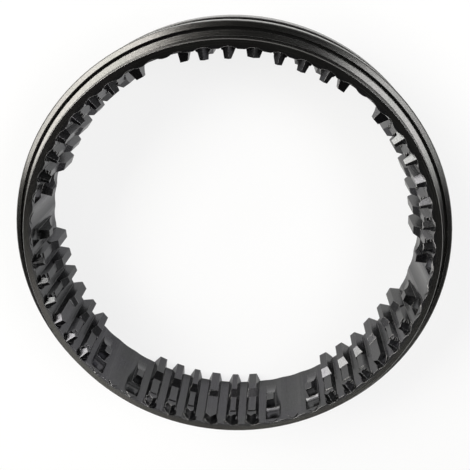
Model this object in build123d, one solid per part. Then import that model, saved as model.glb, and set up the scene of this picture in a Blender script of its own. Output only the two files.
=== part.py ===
from build123d import *
import math
import os

# Synchronizer ring of a heavy gearbox: a sliding sleeve turned from one blank, with a fork
# groove round the outside and pointed dog teeth inside. It lies on its back face at height 0,
# with its axis on Z and its pointed tooth ends up. All sizes are in millimetres. A depth is
# measured down from the front face.

# Blank
WIDTH = 32.0
FLANGE_DIAMETER = 160.0
SHOULDER_WIDTH = 2.9
SHOULDER_FALL = 20.0
UNDERCUT_WIDTH = 1.1
UNDERCUT_DEPTH = 1.5
COLLAR_HEIGHT = 7.3
COLLAR_STEP = 1.7
COLLAR_DRAFT = 0.3
LEAD_HEIGHT = 0.4
LEAD_WIDTH = 0.25
FRONT_FLANGE_WIDTH = 5.7
GROOVE_WIDTH = 10.2
GROOVE_DEPTH = 4.8
GROOVE_BEVEL = 0.5
EDGE_BREAK = 0.3
BORE_BEVEL = 0.7

# Tooth pattern: equal blocks of nine places, each block with one empty place. The wall is what
# lies between the rim of the flange and the root of the teeth
BLOCKS = 6
PLACES = 9
WALL = 8.1
ROOT_WIDTH = 5.5

# Full section of a tooth, as at its back end
TOOTH_HEIGHT = 3.65
TIP_WIDTH = 3.0
TIP_BEVEL = 0.4

# Crest of a regular tooth from the front: land, notch with a step in it, lower and narrower
# middle, ramp. A drop is measured from the tip of the full section
LAND_LENGTH = 2.2
LAND_DROP = 0.35
NOTCH_LENGTH = 2.4
NOTCH_DROP = 3.0
NOTCH_STEP_LENGTH = 2.3
NOTCH_STEP_DROP = 2.2
MIDDLE_LENGTH = 9.6
MIDDLE_DROP = 1.85
MIDDLE_WIDTH = 2.9
RAMP_LENGTH = 3.6

# Pointed front end: two facets that meet in a ridge and run out in an arc in the front face
NOSE_OVERCUT = 0.8
NOSE_ANGLE = 45.0
NOSE_FALL = 10.0
NOSE_ARC_RADIUS = 5.6

# Wide tooth in the middle of a block, and what its two neighbours lose on the side facing it
WIDE_EXTRA = 0.35
WIDE_LENGTH = 15.4
WIDE_DROP = 1.15
WIDE_RAMP_LENGTH = 2.3
LINE_WIDTH = 0.35
LINE_DEPTH = 0.18
NEIGHBOUR_TIP_CUT = 0.8
NEIGHBOUR_ROOT_CUT = 0.4

# Cut-down tooth on each side of an empty place: a tab with an upright front wall and a run-out
# behind, and what it loses on the side facing the empty place
TAB_START = 10.3
TAB_LENGTH = 4.2
TAB_TIP_CUT = 0.4
TAB_ROOT_CUT = 1.5
RUNOUT_LENGTH = 11.9

# Hollow ground into the bore in front of a tab, as far across as a whole tooth
HOLLOW_LENGTH = 8.3
HOLLOW_DEPTH = 1.8

# Shallow trough left in the bore where a tooth is milled away
TROUGH_DEPTH = 0.45
TROUGH_WIDTH = 6.4

# How far the root of a tooth reaches into the wall, and how far a cut reaches past a face
EMBED = 0.6
OVERRUN = 1.0

COLLAR_RADIUS = FLANGE_DIAMETER / 2 - SHOULDER_WIDTH
ROOT_RADIUS = FLANGE_DIAMETER / 2 - WALL
TIP_RADIUS = ROOT_RADIUS - TOOTH_HEIGHT
FOOT_RADIUS = ROOT_RADIUS + EMBED
STEP_ANGLE = 360 / (BLOCKS * PLACES)
MIDDLE_PLACE = (PLACES + 1) // 2
MIDDLE_START = LAND_LENGTH + NOTCH_LENGTH + NOTCH_STEP_LENGTH
MIDDLE_END = MIDDLE_START + MIDDLE_LENGTH


def height(depth):
    return WIDTH - depth


def section(points):
    # A closed face in the radial plane, from pairs of radius and depth
    corners = [(radius, height(depth)) for radius, depth in points]
    return Plane.XZ * make_face(Polyline(*corners, close=True))


def across(points):
    # A closed face on the back plane, from pairs of radius and sideways distance
    return make_face(Polyline(*points, close=True))


def at_place(shape, place):
    return Rot(0, 0, place * STEP_ANGLE) * shape


def blank():
    # The collar stands on a shoulder that falls outwards, with an undercut ring part way out
    rim = FLANGE_DIAMETER / 2
    collar_foot = COLLAR_RADIUS - COLLAR_STEP
    collar_top = collar_foot - COLLAR_DRAFT
    undercut = COLLAR_RADIUS + UNDERCUT_WIDTH
    undercut_floor = COLLAR_HEIGHT + UNDERCUT_DEPTH
    fall = math.tan(math.radians(SHOULDER_FALL))
    step_top = COLLAR_HEIGHT - COLLAR_STEP * fall
    rim_top = COLLAR_HEIGHT + (rim - undercut) * fall
    groove_start = COLLAR_HEIGHT + FRONT_FLANGE_WIDTH
    groove_end = groove_start + GROOVE_WIDTH
    groove_floor = rim - GROOVE_DEPTH
    outline = section([
        (ROOT_RADIUS, 0),
        (collar_top - LEAD_WIDTH, 0),
        (collar_top, LEAD_HEIGHT),
        (collar_foot, step_top),
        (COLLAR_RADIUS, COLLAR_HEIGHT),
        (COLLAR_RADIUS, undercut_floor),
        (undercut, undercut_floor),
        (undercut, COLLAR_HEIGHT),
        (rim - EDGE_BREAK, rim_top),
        (rim, rim_top + EDGE_BREAK),
        (rim, groove_start - EDGE_BREAK),
        (rim - EDGE_BREAK, groove_start),
        (groove_floor + GROOVE_BEVEL, groove_start),
        (groove_floor, groove_start + GROOVE_BEVEL),
        (groove_floor, groove_end - GROOVE_BEVEL),
        (groove_floor + GROOVE_BEVEL, groove_end),
        (rim - EDGE_BREAK, groove_end),
        (rim, groove_end + EDGE_BREAK),
        (rim, WIDTH - EDGE_BREAK),
        (rim - EDGE_BREAK, WIDTH),
        (ROOT_RADIUS + BORE_BEVEL, WIDTH),
        (ROOT_RADIUS, WIDTH - BORE_BEVEL),
    ])
    return revolve(outline, Axis.Z)


def flanks(tip_left, tip_right, root_left, root_right):
    # Full length of a tooth with straight sides, from its half widths at tip and root
    outline = across([
        (TIP_RADIUS, -tip_left),
        (TIP_RADIUS, tip_right),
        (ROOT_RADIUS, root_right),
        (FOOT_RADIUS, root_right),
        (FOOT_RADIUS, -root_left),
        (ROOT_RADIUS, -root_left),
    ])
    return extrude(outline, WIDTH)


def crest(points):
    # Space under a tooth's crest line, wide enough for any tooth, from pairs of drop and depth
    line = [(TIP_RADIUS + drop, depth) for drop, depth in points]
    back = [(TIP_RADIUS, WIDTH - TIP_BEVEL), (TIP_RADIUS + TIP_BEVEL, WIDTH)]
    outline = section([(FOOT_RADIUS, 0), *line, *back, (FOOT_RADIUS, WIDTH)])
    return extrude(outline, ROOT_WIDTH, both=True)


def regular_crest():
    step_start = LAND_LENGTH + NOTCH_LENGTH
    return crest([
        (LAND_DROP, 0),
        (LAND_DROP, LAND_LENGTH),
        (NOTCH_DROP, LAND_LENGTH),
        (NOTCH_DROP, step_start),
        (NOTCH_STEP_DROP, step_start),
        (NOTCH_STEP_DROP, MIDDLE_START),
        (MIDDLE_DROP, MIDDLE_START),
        (MIDDLE_DROP, MIDDLE_END),
        (0, MIDDLE_END + RAMP_LENGTH),
    ])


def wide_crest():
    # The ramp of the wide tooth lies between two scribed lines
    line_start = WIDE_LENGTH - LINE_WIDTH
    ramp_end = WIDE_LENGTH + WIDE_RAMP_LENGTH
    line_end = ramp_end + LINE_WIDTH
    return crest([
        (WIDE_DROP, 0),
        (WIDE_DROP, line_start),
        (WIDE_DROP + LINE_DEPTH, line_start),
        (WIDE_DROP + LINE_DEPTH, WIDE_LENGTH),
        (WIDE_DROP, WIDE_LENGTH),
        (0, ramp_end),
        (LINE_DEPTH, ramp_end),
        (LINE_DEPTH, line_end),
        (0, line_end),
    ])


def side_relief(middle_half, root_half, side):
    # What the middle of a tooth loses on one side, from its land down to the root line
    outline = across([
        (TIP_RADIUS - OVERRUN, side * middle_half),
        (TIP_RADIUS + MIDDLE_DROP, side * middle_half),
        (ROOT_RADIUS, side * root_half),
        (ROOT_RADIUS, side * ROOT_WIDTH),
        (TIP_RADIUS - OVERRUN, side * ROOT_WIDTH),
    ])
    return Pos(0, 0, height(MIDDLE_END)) * extrude(outline, MIDDLE_END - LAND_LENGTH)


def regular_tooth(left_cut=0, right_cut=0, left_root_cut=0, right_root_cut=0):
    tip_half = TIP_WIDTH / 2
    root_half = ROOT_WIDTH / 2
    middle_half = MIDDLE_WIDTH / 2
    body = flanks(
        tip_half - left_cut,
        tip_half - right_cut,
        root_half - left_root_cut,
        root_half - right_root_cut,
    )
    left = side_relief(middle_half - left_cut, root_half - left_root_cut, -1)
    right = side_relief(middle_half - right_cut, root_half - right_root_cut, 1)
    return (body & regular_crest()) - [left, right]


def neighbour_tooth(side):
    # Tooth beside the wide one, cut back on the side that faces it
    if side > 0:
        return regular_tooth(right_cut=NEIGHBOUR_TIP_CUT, right_root_cut=NEIGHBOUR_ROOT_CUT)
    return regular_tooth(left_cut=NEIGHBOUR_TIP_CUT, left_root_cut=NEIGHBOUR_ROOT_CUT)


def wide_tooth():
    tip_half = (TIP_WIDTH + WIDE_EXTRA) / 2
    root_half = ROOT_WIDTH / 2
    return flanks(tip_half, tip_half, root_half, root_half) & wide_crest()


def arc_radius(rise, run):
    # Radius of an arc that leaves a straight line tangent to it and rises so far over a run
    return (run ** 2 + rise ** 2) / (2 * rise)


def tab_profile():
    # Side view of a cut-down tooth: an upright wall, a short land, and a concave run-out behind
    # it that ends tangent to the bore
    tab_start = height(TAB_START)
    tab_end = height(TAB_START + TAB_LENGTH)
    runout_end = height(TAB_START + TAB_LENGTH + RUNOUT_LENGTH)
    wall = Line((FOOT_RADIUS, tab_start), (TIP_RADIUS, tab_start))
    land = Line(wall @ 1, (TIP_RADIUS, tab_end))
    runout = RadiusArc(land @ 1, (ROOT_RADIUS, runout_end), arc_radius(TOOTH_HEIGHT, RUNOUT_LENGTH))
    back = Line(runout @ 1, (FOOT_RADIUS, runout_end))
    base = Line(back @ 1, wall @ 0)
    return Plane.XZ * make_face([wall, land, runout, back, base])


def tab_tooth(side):
    # The cut-down tooth, cut back on the side that faces the empty place
    tip_half = TIP_WIDTH / 2
    root_half = ROOT_WIDTH / 2
    if side > 0:
        sides = flanks(tip_half, tip_half - TAB_TIP_CUT, root_half, root_half - TAB_ROOT_CUT)
    else:
        sides = flanks(tip_half - TAB_TIP_CUT, tip_half, root_half - TAB_ROOT_CUT, root_half)
    return sides & extrude(tab_profile(), ROOT_WIDTH, both=True)


def hollow():
    # Grinding disc that stands across the tooth
    radius = arc_radius(HOLLOW_DEPTH, HOLLOW_LENGTH / 2)
    centre = Pos(ROOT_RADIUS + HOLLOW_DEPTH - radius, 0, height(TAB_START - HOLLOW_LENGTH / 2))
    return centre * Rot(90, 0, 0) * Cylinder(radius, ROOT_WIDTH)


def trough():
    half = TROUGH_WIDTH / 2
    radius = arc_radius(TROUGH_DEPTH, half)
    centre = ROOT_RADIUS + TROUGH_DEPTH - radius
    cutter = Cylinder(radius, WIDTH + 2 * OVERRUN, align=(Align.CENTER, Align.CENTER, Align.MIN))
    return Pos(centre, 0, -OVERRUN) * cutter


def nose_cutter():
    # What the pointing cut takes away: all that lies above a pitched roof, inside an arc
    apex = ROOT_RADIUS + NOSE_OVERCUT
    reach = 2 * NOSE_ARC_RADIUS
    drop = reach * math.tan(math.radians(NOSE_ANGLE))
    gable = Plane(origin=(apex, 0, WIDTH), x_dir=(0, 1, 0), z_dir=(-1, 0, 0))
    roof_end = make_face(Polyline((0, 0), (reach, drop), (-reach, drop), close=True))
    roof = extrude(gable * roof_end, amount=2 * reach, both=True)
    roof = Pos(apex, 0, WIDTH) * Rot(0, -NOSE_FALL, 0) * Pos(-apex, 0, -WIDTH) * roof
    cutter = Cylinder(NOSE_ARC_RADIUS, drop + OVERRUN, align=(Align.CENTER, Align.CENTER, Align.MAX))
    return Pos(apex - NOSE_ARC_RADIUS, 0, WIDTH + OVERRUN) * cutter - roof


def tooth_at(place):
    # Teeth of one block by place: 0 is empty, and places 1 and 8 are cut down
    if place == 1:
        return tab_tooth(-1)
    if place == PLACES - 1:
        return tab_tooth(1)
    if place == MIDDLE_PLACE:
        return wide_tooth()
    if place == MIDDLE_PLACE - 1:
        return neighbour_tooth(1)
    if place == MIDDLE_PLACE + 1:
        return neighbour_tooth(-1)
    return regular_tooth()


def in_each_block(shape, place):
    return [at_place(shape, place + block * PLACES) for block in range(BLOCKS)]


def milled_blank():
    # The blank with troughs at the empty place and at the tabs beside it, then the hollows
    troughs = []
    for place in (0, 1, PLACES - 1):
        troughs += in_each_block(trough(), place)
    hollows = in_each_block(hollow(), 1) + in_each_block(hollow(), PLACES - 1)
    return (blank() - troughs) - hollows


def synchronizer_ring():
    teeth = []
    for place in range(1, PLACES):
        teeth += in_each_block(tooth_at(place), place)
    nose = nose_cutter()
    noses = [at_place(nose, place) for place in range(BLOCKS * PLACES)]
    return (milled_blank() + teeth) - noses


os.makedirs("parts", exist_ok=True)
export_step(synchronizer_ring(), "parts/synchronizer_ring.step")
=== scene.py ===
import math

import bpy
from mathutils import Matrix, Vector


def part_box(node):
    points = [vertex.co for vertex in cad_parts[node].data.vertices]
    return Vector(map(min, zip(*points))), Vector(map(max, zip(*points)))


# A synchronizer ring of dark phosphated steel, lying on a white floor and seen from above.
# The solid comes from the frame; this script gives it its surface, the light and the camera.
# Lengths are in metres, and places in the photograph in pixels from its top left corner.

# Camera: where it stands over the front face, what it aims at, and its roll. The block of teeth
# is turned a little from the photograph's upright, so the whole camera is turned with it
CAMERA_DISTANCE = 0.26128
CAMERA_TILT = math.radians(22.559)
CAMERA_AIM = (0.00068, -0.00405)
CAMERA_ROLL = math.radians(8.894)
RING_TURN = math.radians(1.492)
FRAME_PX = 470
FOCAL_PX = 728.3
CENTRE_PX = (229.8, 267.2)
SENSOR = 36.0
CLIP_START = 0.01

# Floor: what it is to light, and how much of it the camera and mirrors see as plain white instead
FLOOR_SIZE = 6.0
FLOOR_COLOUR = (0.86, 0.86, 0.86, 1.0)
FLOOR_ROUGHNESS = 0.9
FLOOR_SHINE = 0.1
FLOOR_WHITE = 0.8
MIRRORED_WHITE = 0.35
WHITE = (1.0, 1.0, 1.0, 1.0)

# Lamps: how far they stand from the ring, their tints, the grey of the dark room round them, and
# how high up, as the sine of the angle, the white sheet reaches in mirrors
LAMP_DISTANCE = 1.2
WARM = (1.0, 0.985, 0.94)
NEUTRAL = (0.98, 0.985, 1.0)
ROOM_GREY = (0.02, 0.02, 0.02, 1.0)
SHEET_BOTTOM = 0.08
SHEET_TOP = 0.25

# Steel: tones of the coating on the turned outside and on the toothed inside, the radius where
# one meets the other, and how far a face may look towards the axis and still count as outside
BROWN = (0.104, 0.101, 0.098, 1.0)
OLIVE = (0.101, 0.101, 0.096, 1.0)
SLATE = (0.086, 0.087, 0.089, 1.0)
VIOLET = (0.084, 0.083, 0.090, 1.0)
BORE_RADIUS = 0.0729
INWARD_LIMIT = 0.1

# Patterns: how many of their cells go in a metre, and where the patches pass from one tone to the
# other. The tool lines are close across the cut and long along it
PATCHES_PER_METRE = 55.0
PATCH_FADE = (0.42, 0.58)
GRAINS_PER_METRE = 2600.0
LINES_ACROSS = 7500.0
LINES_ALONG = 40.0

# How much the grain, the lines and the patches change the tone, the roughness and the relief
TONE_BASE = 0.2
TONE_OF_GRAIN = 1.2
TONE_OF_LINES = 0.4
ROUGHNESS_BASE = 0.14
ROUGHNESS_OF_LINES = 0.12
ROUGHNESS_OF_PATCHES = 0.10
RELIEF_OF_GRAIN = 1.2
RELIEF_STRENGTH = 0.28
RELIEF_HEIGHT = 0.00002

# Edges: their rounding, their lighter tone, which is partly coating rubbed off and partly a painted
# glint, and how alike the rounded and the true normal are where this lighter tone starts and where it is
# full
EDGE_ROUNDING = 0.0002
EDGE_SAMPLES = 8
# The lighter edge colour: partly worn coating, partly a painted glint
WORN_AND_GLINT = (0.34, 0.335, 0.33, 1.0)
RUB_AND_GLINT_START = 0.995
RUB_AND_GLINT_FULL = 0.93

# Ramps of the teeth: how much they face up, give or take, and how much at least towards the axis,
# by which they are told from other faces, and what is added to their shading normal
RAMP_UP = 0.452
RAMP_SPREAD = 0.015
RAMP_INWARD = 0.87
RAMP_LIFT = 0.28


def place_camera(top):
    turn = Matrix.Rotation(RING_TURN, 3, "Z")
    face_centre = Vector((0.0, 0.0, top))
    eye = Vector((0.0, math.sin(CAMERA_TILT), math.cos(CAMERA_TILT))) * CAMERA_DISTANCE
    aim = Vector((CAMERA_AIM[0], CAMERA_AIM[1], 0.0))
    forward = (aim - eye).normalized()
    side = forward.cross(Vector((0.0, 1.0, 0.0))).normalized()
    up = side.cross(forward)
    rolled_side = math.cos(CAMERA_ROLL) * side + math.sin(CAMERA_ROLL) * up
    rolled_up = -math.sin(CAMERA_ROLL) * side + math.cos(CAMERA_ROLL) * up
    axes = turn @ Matrix((rolled_side, rolled_up, -forward)).transposed()
    data = bpy.data.cameras.new("camera")
    data.sensor_width = SENSOR
    data.lens = SENSOR * FOCAL_PX / FRAME_PX
    data.shift_x = 0.5 - CENTRE_PX[0] / FRAME_PX
    data.shift_y = CENTRE_PX[1] / FRAME_PX - 0.5
    data.clip_start = CLIP_START
    camera = bpy.data.objects.new("camera", data)
    camera.matrix_world = Matrix.Translation(face_centre + turn @ eye) @ axes.to_4x4()
    bpy.context.scene.collection.objects.link(camera)
    bpy.context.scene.camera = camera


class Nodes:
    # Short way to add nodes to a material or a world: values and links are given by socket name
    def __init__(self, owner):
        self.tree = owner.node_tree

    def add(self, kind, settings=None, **sockets):
        node = self.tree.nodes.new(kind)
        for name, value in (settings or {}).items():
            setattr(node, name, value)
        for name, value in sockets.items():
            self.set(node.inputs[name.replace("_", " ")], value)
        return node

    def set(self, socket, value):
        if isinstance(value, bpy.types.NodeSocket):
            self.tree.links.new(value, socket)
        else:
            socket.default_value = value

    def math(self, operation, first, second=0.0):
        node = self.add("ShaderNodeMath", {"operation": operation})
        self.set(node.inputs[0], first)
        self.set(node.inputs[1], second)
        return node.outputs[0]

    def vector_math(self, operation, first, second):
        node = self.add("ShaderNodeVectorMath", {"operation": operation})
        self.set(node.inputs[0], first)
        self.set(node.inputs[1], second)
        return node.outputs

    def mix(self, factor, first, second):
        node = self.add("ShaderNodeMix", {"data_type": "RGBA"})
        self.set(node.inputs["Factor"], factor)
        self.set(node.inputs["A"], first)
        self.set(node.inputs["B"], second)
        return node.outputs["Result"]

    def scale(self, colour, factor):
        node = self.add("ShaderNodeVectorMath", {"operation": "SCALE"})
        self.set(node.inputs[0], colour)
        self.set(node.inputs["Scale"], factor)
        return node.outputs["Vector"]

    def unit(self, vector):
        node = self.add("ShaderNodeVectorMath", {"operation": "NORMALIZE"})
        self.set(node.inputs[0], vector)
        return node.outputs["Vector"]


def new_material(name):
    material = bpy.data.materials.new(name)
    material.use_nodes = True
    return material


def in_mirrors(n, path):
    # 1 where a mirror or a glass looks
    return n.math("MAXIMUM", path.outputs["Is Glossy Ray"], path.outputs["Is Transmission Ray"])


def floor():
    # Mostly plain white to the eye, and partly so to mirrors, with its own shading for the shadow
    bpy.ops.mesh.primitive_plane_add(size=FLOOR_SIZE, location=(0.0, 0.0, 0.0))
    plane = bpy.context.object
    plane.name = "floor"
    material = new_material("white_floor")
    n = Nodes(material)
    shader = material.node_tree.nodes["Principled BSDF"]
    shader.inputs["Base Color"].default_value = FLOOR_COLOUR
    shader.inputs["Roughness"].default_value = FLOOR_ROUGHNESS
    shader.inputs["Specular IOR Level"].default_value = FLOOR_SHINE
    path = n.add("ShaderNodeLightPath")
    seen = n.math("MULTIPLY", path.outputs["Is Camera Ray"], FLOOR_WHITE)
    share = n.math("ADD", seen, n.math("MULTIPLY", in_mirrors(n, path), MIRRORED_WHITE))
    white = n.add("ShaderNodeEmission", Color=WHITE, Strength=1.0)
    mixed = n.add("ShaderNodeMixShader", Fac=share)
    n.set(mixed.inputs[1], shader.outputs["BSDF"])
    n.set(mixed.inputs[2], white.outputs["Emission"])
    n.set(material.node_tree.nodes["Material Output"].inputs["Surface"], mixed.outputs["Shader"])
    plane.data.materials.append(material)


def soft_box(name, azimuth, elevation, width, tall, brightness, colour):
    # A lamp panel that looks at the ring, azimuth 0 on +X and 90 on +Y
    az = math.radians(azimuth)
    el = math.radians(elevation)
    direction = Vector((math.cos(el) * math.cos(az), math.cos(el) * math.sin(az), math.sin(el)))
    data = bpy.data.lights.new(name, "AREA")
    data.shape = "RECTANGLE"
    data.size = width
    data.size_y = tall
    data.color = colour
    data.energy = brightness * math.pi * width * tall
    lamp = bpy.data.objects.new(name, data)
    lamp.location = direction * LAMP_DISTANCE
    lamp.rotation_euler = direction.to_track_quat("Z", "Y").to_euler()
    bpy.context.scene.collection.objects.link(lamp)


def room():
    # A dark room; the camera sees it white, and mirrors see it white low down, where the white
    # sheet that the ring lies on would rise behind it
    world = bpy.data.worlds.new("studio")
    world.use_nodes = True
    n = Nodes(world)
    path = n.add("ShaderNodeLightPath")
    direction = n.add("ShaderNodeTexCoord").outputs["Generated"]
    up = n.add("ShaderNodeSeparateXYZ", Vector=direction).outputs["Z"]
    low = n.add("ShaderNodeMapRange", Value=up, From_Min=SHEET_TOP, From_Max=SHEET_BOTTOM)
    share = n.math("MULTIPLY", in_mirrors(n, path), low.outputs[0])
    share = n.math("MAXIMUM", share, path.outputs["Is Camera Ray"])
    background = world.node_tree.nodes["Background"]
    n.set(background.inputs["Color"], n.mix(share, ROOM_GREY, WHITE))
    bpy.context.scene.world = world


def studio():
    soft_box("right_box", azimuth=30, elevation=49, width=0.70, tall=0.48, brightness=6.0, colour=NEUTRAL)
    soft_box("left_box", azimuth=162, elevation=41, width=1.10, tall=0.50, brightness=8.2, colour=WARM)
    soft_box("left_low_box", azimuth=144, elevation=17, width=1.00, tall=0.30, brightness=9.0, colour=WARM)
    soft_box("front_box", azimuth=300, elevation=38, width=1.00, tall=0.50, brightness=2.5, colour=WARM)
    soft_box("front_left_box", azimuth=250, elevation=55, width=0.36, tall=0.30, brightness=1.5, colour=WARM)
    room()


def place(n):
    # Coordinates of the shaded point, and its distance from the axis
    position = n.add("ShaderNodeNewGeometry").outputs["Position"]
    x, y, z = n.add("ShaderNodeSeparateXYZ", Vector=position).outputs
    radius = n.math("SQRT", n.math("ADD", n.math("MULTIPLY", x, x), n.math("MULTIPLY", y, y)))
    return x, y, z, radius


def facing(n, x, y):
    # How far the face looks away from the axis, times the distance from it, and how far up
    normal = n.add("ShaderNodeNewGeometry").outputs["True Normal"]
    normal_x, normal_y, upward = n.add("ShaderNodeSeparateXYZ", Vector=normal).outputs
    outward = n.math("ADD", n.math("MULTIPLY", x, normal_x), n.math("MULTIPLY", y, normal_y))
    return outward, upward


def turned(n):
    # 1 on the turned outside, 0 on the toothed inside and on all that faces the axis
    x, y, _, radius = place(n)
    outward, _ = facing(n, x, y)
    beyond = n.math("GREATER_THAN", radius, BORE_RADIUS)
    return n.math("MULTIPLY", beyond, n.math("GREATER_THAN", outward, -INWARD_LIMIT * BORE_RADIUS))


def squeezed(n, first, second, lengthwise):
    # Three coordinates for the tool lines, close in the first two directions and long in the third
    close = [n.math("MULTIPLY", coordinate, LINES_ACROSS) for coordinate in (first, second)]
    return close + [n.math("MULTIPLY", lengthwise, LINES_ALONG)]


def line_vector(n):
    # Place squeezed so that a pattern on it runs round the axis outside and along it inside
    x, y, z, radius = place(n)
    outside = turned(n)
    vector = n.add("ShaderNodeCombineXYZ")
    for socket, inner, outer in zip(vector.inputs, squeezed(n, x, y, z), squeezed(n, radius, z, x)):
        difference = n.math("SUBTRACT", outer, inner)
        n.set(socket, n.math("ADD", inner, n.math("MULTIPLY", difference, outside)))
    return vector.outputs["Vector"]


def noise(n, vector, scale, detail):
    return n.add("ShaderNodeTexNoise", Vector=vector, Scale=scale, Detail=detail).outputs["Fac"]


def rubbed_and_glinting(n, rounded, patches):
    # How much lighter the edges are painted, partly as coating rubbed off and partly as a painted
    # glint: only on edges, where the rounded normal leaves the true one, and unevenly
    flat = n.add("ShaderNodeNewGeometry").outputs["True Normal"]
    likeness = n.vector_math("DOT_PRODUCT", rounded, flat)["Value"]
    edge = n.add("ShaderNodeMapRange", Value=likeness, From_Min=RUB_AND_GLINT_START, From_Max=RUB_AND_GLINT_FULL)
    return n.math("MULTIPLY", edge.outputs[0], patches)


def raised_ramps(n, rounded):
    # The ramps shine in the photograph, and with the solid's own slope they would mirror the floor
    # here. Only their shading normal is raised, by as much as lets them catch the low lamp
    x, y, _, radius = place(n)
    outward, upward = facing(n, x, y)
    inward = n.math("DIVIDE", outward, n.math("MULTIPLY", radius, -1.0))
    slope = n.math("ABSOLUTE", n.math("SUBTRACT", upward, RAMP_UP))
    sloping = n.math("LESS_THAN", slope, RAMP_SPREAD)
    ramp = n.math("MULTIPLY", sloping, n.math("GREATER_THAN", inward, RAMP_INWARD))
    lift = n.add("ShaderNodeCombineXYZ", Z=n.math("MULTIPLY", ramp, RAMP_LIFT))
    return n.unit(n.vector_math("ADD", rounded, lift.outputs["Vector"])["Vector"])


def steel():
    # Dark phosphated steel: tool lines round the turned faces and along the teeth, a fine grain,
    # uneven gloss and thin edges painted lighter, partly worn coating and partly a painted glint
    material = new_material("phosphated_steel")
    n = Nodes(material)
    shader = material.node_tree.nodes["Principled BSDF"]
    position = n.add("ShaderNodeNewGeometry").outputs["Position"]
    patches = noise(n, position, PATCHES_PER_METRE, 3.0)
    lines = noise(n, line_vector(n), 1.0, 2.0)
    grain = noise(n, position, GRAINS_PER_METRE, 3.0)
    rounded = n.add("ShaderNodeBevel", {"samples": EDGE_SAMPLES}, Radius=EDGE_ROUNDING).outputs["Normal"]

    blend = n.add("ShaderNodeMapRange", Value=patches, From_Min=PATCH_FADE[0], From_Max=PATCH_FADE[1])
    inside = n.mix(blend.outputs[0], SLATE, VIOLET)
    outside = n.mix(blend.outputs[0], BROWN, OLIVE)
    tone = n.mix(turned(n), inside, outside)
    speckle = n.math("MULTIPLY", grain, TONE_OF_GRAIN)
    speckle = n.math("ADD", speckle, n.math("MULTIPLY", lines, TONE_OF_LINES))
    tone = n.scale(tone, n.math("ADD", speckle, TONE_BASE))
    # Edges painted lighter: partly worn coating, partly a painted glint
    n.set(shader.inputs["Base Color"], n.mix(rubbed_and_glinting(n, rounded, patches), tone, WORN_AND_GLINT))

    shader.inputs["Metallic"].default_value = 1.0
    line_gloss = n.math("MULTIPLY", lines, ROUGHNESS_OF_LINES)
    gloss = n.math("ADD", line_gloss, n.math("MULTIPLY", patches, ROUGHNESS_OF_PATCHES))
    n.set(shader.inputs["Roughness"], n.math("ADD", gloss, ROUGHNESS_BASE))

    relief = n.math("ADD", lines, n.math("MULTIPLY", grain, RELIEF_OF_GRAIN))
    bump = n.add("ShaderNodeBump", Strength=RELIEF_STRENGTH, Distance=RELIEF_HEIGHT, Height=relief)
    n.set(bump.inputs["Normal"], raised_ramps(n, rounded))
    n.set(shader.inputs["Normal"], bump.outputs["Normal"])
    return material


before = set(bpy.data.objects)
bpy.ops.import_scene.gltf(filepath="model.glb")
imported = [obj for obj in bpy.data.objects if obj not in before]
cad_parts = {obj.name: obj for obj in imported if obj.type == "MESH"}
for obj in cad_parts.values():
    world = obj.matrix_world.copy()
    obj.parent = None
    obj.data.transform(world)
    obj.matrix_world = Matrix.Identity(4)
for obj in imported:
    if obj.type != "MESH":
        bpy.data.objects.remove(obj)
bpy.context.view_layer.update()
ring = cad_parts["synchronizer_ring"]
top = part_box("synchronizer_ring")[1][2]
ring.data.materials.clear()
ring.data.materials.append(steel())

place_camera(top)
floor()
studio()
bpy.context.scene.view_settings.view_transform = "Standard"
